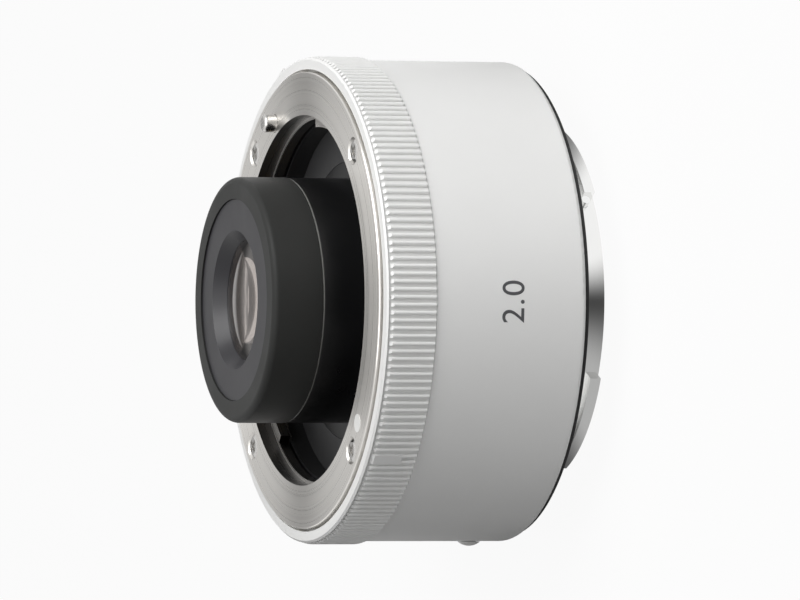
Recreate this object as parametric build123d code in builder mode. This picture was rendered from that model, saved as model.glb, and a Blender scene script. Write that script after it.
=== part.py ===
from build123d import *
from math import copysign, cos, degrees, hypot, radians, sin, sqrt
import os

# A camera teleconverter, standing on its camera-side end.
# +Z runs along the optical axis towards the lens side, and the origin is on the axis
# at the lowest plane. Lengths are in millimetres and angles in degrees.

# Clearances and cuts
slip = 0.05
seat_gap = 0.02
thread_slack = 0.03
screw_end_gap = 0.2
overrun = 1.0

# Driving heights along the axis
flange_height = 5.4
register_depth = 28.0
tube_projection = 9.3
lens_flange = flange_height + register_depth
tube_front = lens_flange + tube_projection

# Driving radii: the four sizes of glass
front_glass_radius = 8.4
fourth_glass_radius = 9.2
triplet_radius = 10.4
rear_glass_radius = 12.6

# Protruding tube, outward from the cemented three
glass_slack = 0.03
boss_wall = 1.02
sleeve_room = 2.2
sleeve_wall = 2.1
hood_wall = 2.8
boss_radius = triplet_radius + glass_slack + boss_wall
cell_radius = boss_radius - slip
sleeve_collar_bore = boss_radius + slip
sleeve_wall_bore = cell_radius + sleeve_room
tube_radius = sleeve_wall_bore + sleeve_wall
hood_bore = tube_radius - hood_wall

# Camera-side bayonet, outward from the rear glass
rear_cell_wall = 2.0
ledge_room = 1.6
baffle_screw_inset = 1.35
baffle_rim_step = 1.45
baffle_rim_wall = 1.55
baffle_slack = 0.15
drum_wall = 1.25
rear_tab_reach = 1.05
rear_cell_radius = rear_glass_radius + rear_cell_wall
ledge_bore = rear_cell_radius + ledge_room
baffle_screw_circle = ledge_bore + baffle_screw_inset
baffle_rim_bore = baffle_screw_circle + baffle_rim_step
baffle_radius = baffle_rim_bore + baffle_rim_wall
drum_bore = baffle_radius + baffle_slack
drum_radius = drum_bore + drum_wall
rear_tab_radius = drum_radius + rear_tab_reach

# Throat of the lens side, which takes the same bayonet, and what stands in it
throat_gap = 0.7
liner_step = 0.65
liner_wall = 0.9
liner_foot = 1.55
contact_room = 0.8
contact_block_depth = 2.2
contact_inset = 1.0
spigot_gap = 0.3
sleeve_foot_inset = 0.45
plate_bore = rear_tab_radius + throat_gap
liner_bore = plate_bore - liner_step
liner_radius = liner_bore + liner_wall
liner_foot_bore = liner_bore - liner_foot
contact_block_outer = liner_foot_bore - contact_room
contact_block_inner = contact_block_outer - contact_block_depth
contact_circle = contact_block_inner + contact_inset
spigot_radius = contact_block_inner - spigot_gap
sleeve_flange_radius = spigot_radius - sleeve_foot_inset
floor_bore = sleeve_flange_radius + slip

# Screws of both mounts: shank, countersunk head and cross recess
mount_screw_count = 4
mount_screw_start = 45
mount_screw_shank = 1.0
mount_screw_head = 1.75
mount_screw_length = 4.6
mount_screw_cross = 2.0
mount_screw_cross_width = 0.5
mount_screw_cross_depth = 0.7
mount_screw_taper = 12
mount_screw_sink = 0.25
mount_screw_dome = 0.24
mount_screw_flat = 1.06

# Shell, outward from the plate's opening
hub_wall = 1.3
plate_edge = 2.48
chassis_wall = 1.6
barrel_wall = 1.55
grip_step = 0.4
lip_gap = 0.35
plate_hub_radius = plate_bore + hub_wall
mount_screw_circle = plate_hub_radius + mount_screw_head
plate_radius = mount_screw_circle + plate_edge
barrel_bore = plate_radius + seat_gap
chassis_radius = barrel_bore - slip
chassis_wall_bore = chassis_radius - chassis_wall
barrel_radius = barrel_bore + barrel_wall
grip_radius = barrel_radius + grip_step
grip_lip_bore = plate_radius + lip_gap
front_collar_bore = liner_radius + slip

# Small pan head screws inside: lens unit, circuit board and baffle
small_screw_shank = 0.7
small_screw_head = 1.25
small_screw_head_height = 0.7
small_screw_length = 2.6
small_screw_slot = 0.35

# Lens-side mount plate
plate_thickness = 1.8
plate_hub_depth = 3.3
socket_tab_reach = 1.5
socket_tab_thickness = 1.3
socket_tabs = ((-44.5, 47), (95, 47), (208, 47))
socket_step = 0.45
plate_edge_break = 0.12
socket_tab_radius = plate_bore - socket_tab_reach
plate_back = lens_flange - plate_thickness
hub_bottom = lens_flange - plate_hub_depth
socket_top = hub_bottom + socket_tab_thickness
socket_bore = plate_bore - socket_step

# Index dot of the plate
dot_inset = 1.3
dot_angle = -126
dot_radius = 1.15
dot_depth = 0.3
dot_proud = 0.03
dot_circle = plate_hub_radius + dot_inset

# Knurled grip ring
grip_front_drop = 0.4
grip_rim_step = 0.2
grip_bevel = 0.25
grip_line_height = 0.25
grip_height = 6.7
grip_groove_depth = 0.4
grip_ridge_radius = 0.27
grip_ridge_count = 198
grip_ridge_margin = 0.15
grip_ridge_bevel = 0.4
grip_front = lens_flange - grip_front_drop
grip_rim_bottom = grip_front - grip_bevel
grip_knurl_top = grip_rim_bottom - grip_line_height
grip_rim_radius = grip_radius - grip_rim_step
grip_rear = grip_front - grip_height
grip_root = grip_radius - grip_groove_depth
index_bar_angle = -130
index_bar_width = 1.45
index_bar_length = 4.1

# Main barrel
barrel_rear_gap = 0.73
barrel_edge_round = 0.55
barrel_seam = 0.05
barrel_rear = flange_height + barrel_rear_gap

# Index bead of the barrel
bead_angle = 180
bead_rise = 4.37
bead_radius = 1.45
bead_proud = 0.56
bead_stem_radius = 0.9
bead_height = barrel_rear + bead_rise

# Chassis tube, its bulkhead and the leaf springs of the socket
chassis_rear_collar = 3.8
shim_thickness = 0.15
bulkhead_drop = 8.4
bulkhead_thickness = 2.0
bulkhead_slack = 0.1
leaf_thickness = 0.3
leaf_step = 0.2
bulkhead_top = lens_flange - bulkhead_drop
bulkhead_bottom = bulkhead_top - bulkhead_thickness
bulkhead_bore = spigot_radius + bulkhead_slack
leaf_inner = socket_tab_radius + leaf_step

# Throat liner and floor
liner_foot_height = 1.2
floor_thickness = 1.2
floor_bottom = bulkhead_top + liner_foot_height
floor_top = floor_bottom + floor_thickness

# Contacts, the same circle and pitch on both sides
contact_count = 10
contact_middle = 90
contact_pitch = 8.44
contact_block_span = 86
contact_block_rise = 1.7
contact_pin_radius = 0.4
contact_pin_proud = 1.0
contact_pin_round = 0.25
contact_pin_collar = 0.6
contact_pin_collar_height = 0.5
contact_pin_roof = 1.5
contact_spring_radius = 0.42
contact_spring_wire = 0.07
contact_spring_turns = 6
pin_slack = 0.03
contact_block_top = floor_top + contact_block_rise

# Lens unit: rear cell, its flange and screws
rear_cell_gap = 0.3
rear_cell_waist_wall = 2.6
rear_cell_flange_thickness = 1.6
rear_cell_flange_edge = 1.55
spigot_height = 0.6
unit_screw_inset = 2.2
unit_screw_angles = (-90, 30, 150)
rear_cell_waist = triplet_radius + rear_cell_waist_wall
unit_screw_circle = spigot_radius + unit_screw_inset
rear_cell_flange_radius = unit_screw_circle + rear_cell_flange_edge

# Circuit board and flexible ribbons
board_drop = 8.8
board_thickness = 1.0
board_room = 0.9
board_edge = 1.3
board_start = -50
board_sweep = 280
board_post_radius = 1.15
board_post_gap = 0.1
board_post_rib = 3
board_post_angles = (-25, 125, 205)
board_bottom = bulkhead_bottom - board_drop
board_top = board_bottom + board_thickness
board_inner = rear_cell_radius + board_room
board_post_circle = rear_cell_flange_radius + board_post_gap + board_post_radius
board_outer = board_post_circle + board_edge
connector_width = 9.6
connector_depth = 2.0
connector_height = 1.2
chip_side = 6.0
chip_height = 0.9
chip_edge = 0.2
chip_angle = 180
chip_circle = (board_inner + board_outer) / 2
ribbon_thickness = 0.15
ribbon_width = 8.0
ribbon_margin = 0.4
ribbon_channel_height = 0.3
front_ribbon_gap = 1.7
rear_ribbon_inset = 0.5
front_ribbon_place = contact_block_outer + front_ribbon_gap
rear_ribbon_place = contact_circle - rear_ribbon_inset

# Lock pin and release lever
lock_pin_inset = 0.3
lock_pin_angle = 26
lock_pin_radius = 1.15
lock_pin_proud = 1.7
lock_pin_round = 0.45
lock_pin_neck = 0.7
lock_pin_head = 1.05
lock_pin_head_height = 0.6
lock_pin_tail = 0.5
lock_pin_tail_length = 1.2
lock_pin_circle = plate_hub_radius + lock_pin_inset
release_travel = 2.0
lever_front_drop = 2.5
lever_length = 6.3
lever_gap = 0.25
lever_thickness = 2.45
lever_start = 27.3
lever_sweep = 25.4
lever_edge_round = 0.5
lever_rib_count = 3
lever_rib_height = 0.25
lever_rib_width = 0.45
lever_rib_pitch = 1.3
lever_rib_margin = 3.0
stem_start = 30.5
stem_sweep = 6
stem_top_drop = 3.6
stem_height = 2.2
fork_start = 22.8
fork_inward = 1.05
fork_outward = 1.4
fork_inner = lock_pin_circle - fork_inward
fork_outer = lock_pin_circle + fork_outward
window_margin = 1.0
window_start = 21.5
window_sweep = 16.5
window_top_drop = 3.4
slot_end_gap = 0.2
lock_spring_pocket_depth = 1.6
lock_spring_pocket = 1.5
lock_spring_radius = 0.92
lock_spring_wire = 0.13
lock_spring_turns = 5

# Camera-side bayonet: flange, ledge, tabs, lock hole and stop pin
rear_flange_thickness = 1.8
rear_flange_radius = chassis_radius
drum_end = 0.4
rear_tab_thickness = 1.4
rear_tabs = ((-52.5, 44.5), (93, 47), (202, 43))
ledge_drop = 1.9
lock_hole_radius = 1.35
lock_hole_depth = 1.5
stop_pin_angle = -55.4
stop_pin_rise = 1.45
stop_pin_radius = 0.55
stop_pin_inset = 0.15
ledge_height = flange_height - ledge_drop
stop_pin_height = drum_end + stop_pin_rise
flange_top = flange_height + rear_flange_thickness
chassis_rear = flange_top + shim_thickness
rear_bore_gap = 0.3
chassis_rear_bore = board_outer + rear_bore_gap

# Mount gasket
gasket_thickness = 0.5
gasket_radius = barrel_radius - barrel_edge_round - seat_gap

# Rear baffle and contact holder
baffle_plate_thickness = 1.2
baffle_window_x = 27.0
baffle_window_y = 20.0
baffle_window_round = 3.0
baffle_sector_inset = 1.9
baffle_sector_span = 92
baffle_screw_angles = (-30, -90, -150)
holder_inset = 1.6
holder_span = 88
holder_height = 1.9
pad_length = 1.7
pad_width = 1.7
pad_thickness = 0.5
pad_proud = 0.1
baffle_sector_inner = contact_circle - baffle_sector_inset
holder_inner = contact_circle - holder_inset
holder_bottom = ledge_height - holder_height

# Front hood, tube sleeve and trim ring
hood_edge_round = 0.8
hood_rear_step = 6.62
sleeve_inset = 0.05
sleeve_collar_height = 3.0
seam_groove = 0.12
trim_drop = 0.2
trim_lip = 0.7
trim_cone = 1.15
cell_rest = 0.05
trim_radius = hood_bore - slip
trim_lip_radius = front_glass_radius - trim_lip
trim_cone_radius = trim_lip_radius + trim_cone

# Glass, front to rear: radii, the gap before each element, its thickness at the rim
front_glass_drop = 0.75
pair_gap = 1.7
fourth_gap = 1.0
triplet_gap = 3.0
rear_gap = 4.3
cement = 0.02
first_rim = 1.273
second_rim = 4.965
third_rim = 0.424
fourth_rim = 1.016
fifth_rim = 6.289
sixth_rim = 1.348
seventh_rim = 6.166
eighth_rim = 2.313
glass_rows = (
    (front_glass_radius, front_glass_drop, first_rim),
    (front_glass_radius, pair_gap, second_rim),
    (front_glass_radius, cement, third_rim),
    (fourth_glass_radius, fourth_gap, fourth_rim),
    (triplet_radius, triplet_gap, fifth_rim),
    (triplet_radius, cement, sixth_rim),
    (triplet_radius, cement, seventh_rim),
    (rear_glass_radius, rear_gap, eighth_rim),
)
# Front and rear curves of each element as shares of its radius, positive where the
# face's rim lies behind its middle
glass_curve_shares = (
    (3.33, -5.36),
    (-3.57, 1.79),
    (1.79, -3.33),
    (4.35, -6.5),
    (-3.37, 1.73),
    (1.73, -1.92),
    (-1.92, 2.88),
    (3.57, -7.14),
)

# Seats and rings that hold the glass
front_seat = 0.7
front_aperture_step = 0.2
fourth_seat = 0.3
triplet_seat_width = 0.6
rear_seat_width = 0.6
rear_aperture_step = 0.5
rear_shelf = 1.0
spacer_wall = 0.5
cell_ring_wall = 1.0
cell_ring_height = 0.85
triplet_ring_wall = 1.0
triplet_ring_height = 0.45
rear_ring_wall = 0.9
rear_ring_height = 1.2
ring_slack = 0.02
front_aperture = front_glass_radius - front_seat
fourth_seat_radius = fourth_glass_radius - fourth_seat
triplet_aperture = triplet_radius - triplet_seat_width
rear_seat_radius = rear_glass_radius - rear_seat_width
spacer_bore = front_glass_radius - spacer_wall
cell_ring_bore = fourth_glass_radius - cell_ring_wall
triplet_ring_bore = triplet_radius - triplet_ring_wall
rear_ring_bore = rear_glass_radius - rear_ring_wall

os.makedirs("parts", exist_ok=True)


def turn(points, mode=Mode.ADD):
    """Turn a closed section of (radius, height) points round the optical axis."""
    with BuildSketch(Plane.XZ) as section:
        with BuildLine():
            Polyline(*points, close=True)
        make_face()
    revolve(section.sketch, axis=Axis.Z, mode=mode)


def tube(inner, outer, bottom, top, mode=Mode.ADD):
    """A plain ring between two radii and two heights."""
    turn(((inner, bottom), (outer, bottom), (outer, top), (inner, top)), mode)


def sector(inner, outer, start, span, bottom, top, mode=Mode.ADD):
    """A piece of a ring, from its start angle round through its span."""
    with BuildSketch(Plane.XY.offset(bottom)) as face:
        with BuildLine():
            far = CenterArc((0, 0), outer, start, span)
            near = CenterArc((0, 0), inner, start, span)
            Line(far @ 0, near @ 0)
            Line(far @ 1, near @ 1)
        make_face()
    extrude(face.sketch, amount=top - bottom, mode=mode)


def block(low_x, high_x, low_y, high_y, bottom, top, mode=Mode.ADD):
    """A straight block between two corners."""
    middle = ((low_x + high_x) / 2, (low_y + high_y) / 2)
    with BuildSketch(Plane.XY.offset(bottom)) as face:
        with Locations(middle):
            Rectangle(high_x - low_x, high_y - low_y)
    extrude(face.sketch, amount=top - bottom, mode=mode)


def posts(radius, circle, angles, bottom, top, mode=Mode.ADD):
    """Round posts, or holes, on a circle at the given angles."""
    with BuildSketch(Plane.XY.offset(bottom)) as faces:
        with Locations(*[polar(circle, angle) for angle in angles]):
            Circle(radius)
    extrude(faces.sketch, amount=top - bottom, mode=mode)


def polar(circle, angle):
    """The place on a circle at an angle."""
    return (circle * cos(radians(angle)), circle * sin(radians(angle)))


def spread(start, count, step):
    """Evenly spaced angles."""
    return [start + index * step for index in range(count)]


def coil(places, radius, wire, bottom, top, turns):
    """Open springs of round wire, standing at the given places."""
    rise = top - bottom - 2 * wire
    for x, y in places:
        with BuildLine() as path:
            Helix(pitch=rise / turns, height=rise, radius=radius, center=(x, y, bottom + wire))
        with BuildSketch(Plane(origin=path.line @ 0, z_dir=path.line % 0)) as end:
            Circle(wire)
        sweep(end.sketch, path=path.line, is_frenet=True)


def facing_down(height):
    """A level plane that looks down, with its y running backwards."""
    return Plane(origin=(0, 0, height), x_dir=(1, 0, 0), z_dir=(0, 0, -1))


def rim_height(vertex, curve, radius):
    """Height of a spherical face at a radius, from its height on the axis."""
    return vertex - copysign(abs(curve) - sqrt(curve**2 - radius**2), curve)


# Where each glass face lies
glasses = []
vertex = tube_front
for (radius, gap, rim), (front_share, rear_share) in zip(glass_rows, glass_curve_shares):
    front_vertex = vertex - gap
    front_rim = rim_height(front_vertex, front_share * radius, radius)
    vertex = front_rim - rim - rim_height(0, rear_share * radius, radius)
    glasses.append((radius, front_vertex, front_share * radius, vertex, rear_share * radius))


def front_face(number, radius):
    """Height of the front face of a glass element at a radius."""
    glass = glasses[number - 1]
    return rim_height(glass[1], glass[2], radius)


def rear_face(number, radius):
    """Height of the rear face of a glass element at a radius."""
    glass = glasses[number - 1]
    return rim_height(glass[3], glass[4], radius)


mount_screw_angles = spread(mount_screw_start, mount_screw_count, 360 / mount_screw_count)
contact_start = contact_middle - contact_pitch * (contact_count - 1) / 2
contact_angles = spread(contact_start, contact_count, contact_pitch)
contact_places = [polar(contact_circle, angle) for angle in contact_angles]
lock_place = polar(lock_pin_circle, lock_pin_angle)

# Mount screw, head up, domed round a flat middle just under the face, with a cross recess
screw_rim = mount_screw_head - mount_screw_sink
screw_top = mount_screw_dome - mount_screw_sink
dome_depth = (screw_rim**2 - mount_screw_flat**2 - mount_screw_dome**2) / (mount_screw_dome * 2)
dome_curve = hypot(screw_rim, dome_depth)
dome_middle = (mount_screw_flat + screw_rim) / 2
dome_height = sqrt(dome_curve**2 - dome_middle**2) - dome_depth - mount_screw_sink
with BuildPart() as mount_screw:
    turn((
        (0, -mount_screw_length),
        (mount_screw_shank, -mount_screw_length),
        (mount_screw_shank, mount_screw_shank - mount_screw_head),
        (screw_rim, -mount_screw_sink),
        (dome_middle, dome_height),
        (mount_screw_flat, screw_top),
        (0, screw_top),
    ))
    with BuildSketch(Plane.XY.offset(screw_top)):
        Rectangle(mount_screw_cross, mount_screw_cross_width)
        Rectangle(mount_screw_cross_width, mount_screw_cross)
    extrude(amount=-mount_screw_cross_depth, taper=mount_screw_taper, mode=Mode.SUBTRACT)

# Small pan head screw, head up on its seat at zero height, with a slot
with BuildPart() as small_screw:
    turn((
        (0, -small_screw_length),
        (small_screw_shank, -small_screw_length),
        (small_screw_shank, 0),
        (small_screw_head, 0),
        (small_screw_head, small_screw_head_height),
        (0, small_screw_head_height),
    ))
    with BuildSketch(Plane.XY.offset(small_screw_head_height)):
        Rectangle(small_screw_head * 2, small_screw_slot)
    extrude(amount=-small_screw_slot, mode=Mode.SUBTRACT)


def countersinks(height, facing):
    """Countersunk holes for the mount screws, in a face that looks up or down."""
    with Locations(Plane(origin=(0, 0, height), z_dir=(0, 0, facing))):
        with PolarLocations(mount_screw_circle, mount_screw_count, start_angle=mount_screw_start):
            CounterSinkHole(
                radius=mount_screw_shank + thread_slack,
                counter_sink_radius=mount_screw_head + thread_slack,
                counter_sink_angle=90,
            )


# Lens-side mount plate: flange, hub and the three tabs of the socket
with BuildPart() as front_mount_plate:
    turn((
        (plate_bore, lens_flange),
        (plate_radius - plate_edge_break, lens_flange),
        (plate_radius, lens_flange - plate_edge_break),
        (plate_radius, plate_back),
        (plate_hub_radius, plate_back),
        (plate_hub_radius, hub_bottom),
        (socket_bore, hub_bottom),
        (socket_bore, socket_top),
        (plate_bore, socket_top),
    ))
    for start, span in socket_tabs:
        tab_root = (plate_bore + plate_hub_radius) / 2
        sector(socket_tab_radius, tab_root, start, span, hub_bottom, socket_top)
    countersinks(lens_flange, 1)
    posts(lock_pin_radius + slip, lock_pin_circle, (lock_pin_angle,),
          hub_bottom - overrun, lens_flange + overrun, Mode.SUBTRACT)
    posts(dot_radius, dot_circle, (dot_angle,), lens_flange - dot_depth, lens_flange + overrun, Mode.SUBTRACT)
front_mount_plate.part.label = "front_mount_plate"
export_step(front_mount_plate.part, "parts/front_mount_plate.step")

with BuildPart() as lens_index_dot:
    posts(dot_radius, dot_circle, (dot_angle,), lens_flange - dot_depth, lens_flange + dot_proud)
lens_index_dot.part.label = "lens_index_dot"
export_step(lens_index_dot.part, "parts/lens_index_dot.step")

with BuildPart(Plane.XY.offset(lens_flange)) as front_mount_screws:
    with PolarLocations(mount_screw_circle, mount_screw_count, start_angle=mount_screw_start):
        add(mount_screw.part)
front_mount_screws.part.label = "front_mount_screws"
export_step(front_mount_screws.part, "parts/front_mount_screws.step")

# Leaf springs behind the socket's tabs
with BuildPart() as mount_leaf_springs:
    for start, span in socket_tabs:
        sector(leaf_inner, plate_hub_radius - slip, start, span, hub_bottom - leaf_thickness, hub_bottom)
mount_leaf_springs.part.label = "mount_leaf_springs"
export_step(mount_leaf_springs.part, "parts/mount_leaf_springs.step")
collar_ledge = hub_bottom - leaf_thickness

# Release lever: finger tab, stem through the slot and fork round the lock pin's neck
stem_top = lens_flange - stem_top_drop
stem_bottom = stem_top - stem_height
lever_top = lens_flange - lever_front_drop
lever_bottom = lever_top - lever_length
lever_inner = grip_radius + lever_gap
lever_outer = lever_inner + lever_thickness
with BuildPart() as release_lever:
    sector(lever_inner, lever_outer, lever_start, lever_sweep, lever_bottom, lever_top)
    outer_edges = release_lever.edges().filter_by(
        lambda edge: hypot(edge.center().X, edge.center().Y) > (lever_inner + lever_outer) / 2
    )
    fillet(outer_edges, radius=lever_edge_round)
    rib_start = lever_start + lever_rib_margin
    rib_sweep = lever_sweep - 2 * lever_rib_margin
    rib_low = (lever_top + lever_bottom) / 2 - lever_rib_pitch * (lever_rib_count - 1) / 2
    for height in spread(rib_low, lever_rib_count, lever_rib_pitch):
        sector(lever_inner + lever_gap, lever_outer + lever_rib_height, rib_start, rib_sweep,
               height - lever_rib_width / 2, height + lever_rib_width / 2)
    sector(fork_inner, lever_inner + lever_gap, stem_start, stem_sweep, stem_bottom, stem_top)
    sector(fork_inner, fork_outer, fork_start, stem_start + stem_sweep / 2 - fork_start, stem_bottom, stem_top)
    posts(lock_pin_neck + slip, lock_pin_circle, (lock_pin_angle,),
          stem_bottom - overrun, stem_top + overrun, Mode.SUBTRACT)
    with BuildSketch(Plane.XY.offset(stem_bottom - overrun).rotated((0, 0, lock_pin_angle))) as mouth:
        with Locations((lock_pin_circle - overrun, 0)):
            Rectangle(overrun * 2, (lock_pin_neck + slip) * 2)
    extrude(mouth.sketch, amount=stem_height + overrun * 2, mode=Mode.SUBTRACT)
release_lever.part.label = "release_lever"
export_step(release_lever.part, "parts/release_lever.step")

# Lock pin: round-nosed body, neck held by the fork, head and guide tail
pin_top = lens_flange + lock_pin_proud
neck_top = stem_top + slip
neck_bottom = stem_bottom - slip
head_bottom = neck_bottom - lock_pin_head_height
tail_bottom = head_bottom - lock_pin_tail_length
with BuildPart() as lock_pin:
    posts(lock_pin_radius, lock_pin_circle, (lock_pin_angle,), neck_top, pin_top)
    fillet(lock_pin.faces().sort_by(Axis.Z)[-1].edges(), radius=lock_pin_round)
    posts(lock_pin_neck, lock_pin_circle, (lock_pin_angle,), neck_bottom, neck_top)
    posts(lock_pin_head, lock_pin_circle, (lock_pin_angle,), head_bottom, neck_bottom)
    posts(lock_pin_tail, lock_pin_circle, (lock_pin_angle,), tail_bottom, head_bottom)
lock_pin.part.label = "lock_pin"
export_step(lock_pin.part, "parts/lock_pin.step")

pocket_bottom = bulkhead_top - lock_spring_pocket_depth
with BuildPart() as lock_pin_spring:
    coil((lock_place,), lock_spring_radius, lock_spring_wire, pocket_bottom, head_bottom, lock_spring_turns)
lock_pin_spring.part.label = "lock_pin_spring"
export_step(lock_pin_spring.part, "parts/lock_pin_spring.step")

# Knurled grip ring: half-round ridges with bevelled front ends behind a thin rim and groove
slot_start = stem_start - window_margin
slot_sweep = stem_sweep + window_margin * 2
slot_bottom = stem_bottom - release_travel - slot_end_gap
slot_top = lens_flange - window_top_drop
with BuildPart() as grip_ring:
    turn((
        (grip_lip_bore, grip_front),
        (grip_rim_radius - grip_bevel, grip_front),
        (grip_rim_radius, grip_rim_bottom),
        (grip_root, grip_rim_bottom),
        (grip_root, grip_rear),
        (barrel_bore, grip_rear),
        (barrel_bore, plate_back),
        (grip_lip_bore, plate_back),
    ))
    with BuildSketch(Plane.XY.offset(grip_rear + grip_ridge_margin)) as ridges:
        with PolarLocations(grip_radius - grip_ridge_radius, grip_ridge_count):
            Circle(grip_ridge_radius)
    extrude(ridges.sketch, amount=grip_knurl_top - grip_rear - grip_ridge_margin)
    bar_sweep = degrees(index_bar_width / grip_radius)
    sector(barrel_bore, grip_radius, index_bar_angle - bar_sweep / 2, bar_sweep,
           grip_knurl_top - index_bar_length, grip_knurl_top)
    turn((
        (grip_radius - grip_ridge_bevel, grip_knurl_top),
        (grip_radius + overrun, grip_knurl_top),
        (grip_radius + overrun, grip_knurl_top - grip_ridge_bevel - overrun),
    ), Mode.SUBTRACT)
    sector(barrel_bore - overrun, grip_radius + overrun, slot_start, slot_sweep,
           slot_bottom, slot_top, Mode.SUBTRACT)
grip_ring.part.label = "grip_ring"
export_step(grip_ring.part, "parts/grip_ring.step")

# Main barrel
barrel_front = grip_rear - barrel_seam
bead_way = (*polar(1, bead_angle), 0)
with BuildPart() as main_barrel:
    tube(barrel_bore, barrel_radius, barrel_rear, barrel_front)
    rear_outer = main_barrel.faces().sort_by(Axis.Z)[0].edges().sort_by(SortBy.RADIUS)[-1]
    fillet(rear_outer, radius=barrel_edge_round)
    sector(barrel_bore - overrun, barrel_radius + overrun, slot_start, slot_sweep,
           slot_bottom, barrel_front + overrun, Mode.SUBTRACT)
    with BuildSketch(Plane(origin=(0, 0, bead_height), z_dir=bead_way)) as bead_hole:
        Circle(bead_stem_radius + slip)
    extrude(bead_hole.sketch, amount=barrel_radius + overrun, mode=Mode.SUBTRACT)
main_barrel.part.label = "main_barrel"
export_step(main_barrel.part, "parts/main_barrel.step")

# Index bead: a low dome with a stem in the barrel's hole, turned about its own axis
bead_face = barrel_radius + slip
bead_top = bead_face + bead_proud
bead_curve = (bead_radius**2 + bead_proud**2) / (bead_proud * 2)
dome_shoulder = bead_top - bead_curve + sqrt(bead_curve**2 - (bead_radius / 2)**2)
with BuildPart() as barrel_index_bead:
    with BuildSketch(Plane(origin=(0, 0, bead_height), x_dir=bead_way, z_dir=(0, 0, 1))) as bead_section:
        with BuildLine():
            ThreePointArc((bead_top, 0), (dome_shoulder, bead_radius / 2), (bead_face, bead_radius))
            Polyline(
                (bead_face, bead_radius),
                (bead_face, bead_stem_radius),
                (barrel_bore, bead_stem_radius),
                (barrel_bore, 0),
                (bead_top, 0),
            )
        make_face()
    revolve(bead_section.sketch, axis=Axis((0, 0, bead_height), bead_way))
barrel_index_bead.part.label = "barrel_index_bead"
export_step(barrel_index_bead.part, "parts/barrel_index_bead.step")

# Chassis tube: rear collar, wall, bulkhead and front collar
rear_collar_top = chassis_rear + chassis_rear_collar
screw_hole_depth = mount_screw_length + screw_end_gap
with BuildPart() as chassis:
    turn((
        (chassis_rear_bore, chassis_rear),
        (chassis_radius, chassis_rear),
        (chassis_radius, plate_back),
        (plate_hub_radius + slip, plate_back),
        (plate_hub_radius + slip, collar_ledge),
        (front_collar_bore, collar_ledge),
        (front_collar_bore, bulkhead_top),
        (bulkhead_bore, bulkhead_top),
        (bulkhead_bore, bulkhead_bottom),
        (chassis_wall_bore, bulkhead_bottom),
        (chassis_wall_bore, rear_collar_top),
        (chassis_rear_bore, rear_collar_top),
    ))
    posts(board_post_radius, board_post_circle, board_post_angles, board_top, bulkhead_bottom)
    for angle in board_post_angles:
        sector(board_post_circle, chassis_wall_bore + slip, angle - board_post_rib / 2, board_post_rib,
               board_top, bulkhead_bottom)
    posts(small_screw_shank + thread_slack, board_post_circle, board_post_angles,
          board_top - overrun, board_bottom + small_screw_length + screw_end_gap, Mode.SUBTRACT)
    posts(mount_screw_shank + thread_slack, mount_screw_circle, mount_screw_angles,
          lens_flange - screw_hole_depth, lens_flange, Mode.SUBTRACT)
    posts(mount_screw_shank + thread_slack, mount_screw_circle, mount_screw_angles,
          flange_height, flange_height + screw_hole_depth, Mode.SUBTRACT)
    posts(small_screw_shank + thread_slack, unit_screw_circle, unit_screw_angles,
          bulkhead_bottom - overrun, bulkhead_bottom - rear_cell_flange_thickness + small_screw_length + slip,
          Mode.SUBTRACT)
    sector(front_collar_bore - overrun, chassis_radius + overrun, window_start, window_sweep,
           bulkhead_top, slot_top, Mode.SUBTRACT)
    posts(lock_pin_radius + slip, lock_pin_circle, (lock_pin_angle,), slot_top - overrun, lens_flange, Mode.SUBTRACT)
    posts(lock_spring_pocket, lock_pin_circle, (lock_pin_angle,), pocket_bottom, bulkhead_top, Mode.SUBTRACT)
    ribbon_side = ribbon_width / 2 + ribbon_margin
    block(-ribbon_side, ribbon_side, front_ribbon_place - ribbon_margin, front_ribbon_place + ribbon_margin,
          bulkhead_bottom - overrun, bulkhead_top + overrun, Mode.SUBTRACT)
chassis.part.label = "chassis"
export_step(chassis.part, "parts/chassis.step")

# Shim between the chassis and the camera-side bayonet
with BuildPart() as mount_shim:
    tube(chassis_rear_bore, chassis_radius, flange_top, chassis_rear)
    posts(mount_screw_shank + thread_slack, mount_screw_circle, mount_screw_angles,
          flange_top - overrun, chassis_rear + overrun, Mode.SUBTRACT)
mount_shim.part.label = "mount_shim"
export_step(mount_shim.part, "parts/mount_shim.step")

# Throat liner, with a channel in its foot for the front ribbon
with BuildPart() as throat_liner:
    turn((
        (liner_bore, collar_ledge - slip),
        (liner_radius, collar_ledge - slip),
        (liner_radius, bulkhead_top),
        (liner_foot_bore, bulkhead_top),
        (liner_foot_bore, floor_bottom),
        (liner_bore, floor_bottom),
    ))
    block(-ribbon_side, ribbon_side, liner_foot_bore - overrun, liner_radius + overrun,
          bulkhead_top - overrun, bulkhead_top + ribbon_channel_height, Mode.SUBTRACT)
throat_liner.part.label = "throat_liner"
export_step(throat_liner.part, "parts/throat_liner.step")

# Throat floor, with a slot that the contact block stands in
block_start = contact_middle - contact_block_span / 2
block_slack = degrees(slip / contact_circle)
with BuildPart() as throat_floor:
    tube(floor_bore, liner_bore - slip, floor_bottom, floor_top)
    sector(contact_block_inner - slip, contact_block_outer + slip, block_start - block_slack,
           contact_block_span + block_slack * 2, floor_bottom - overrun, floor_top + overrun, Mode.SUBTRACT)
throat_floor.part.label = "throat_floor"
export_step(throat_floor.part, "parts/throat_floor.step")

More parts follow.
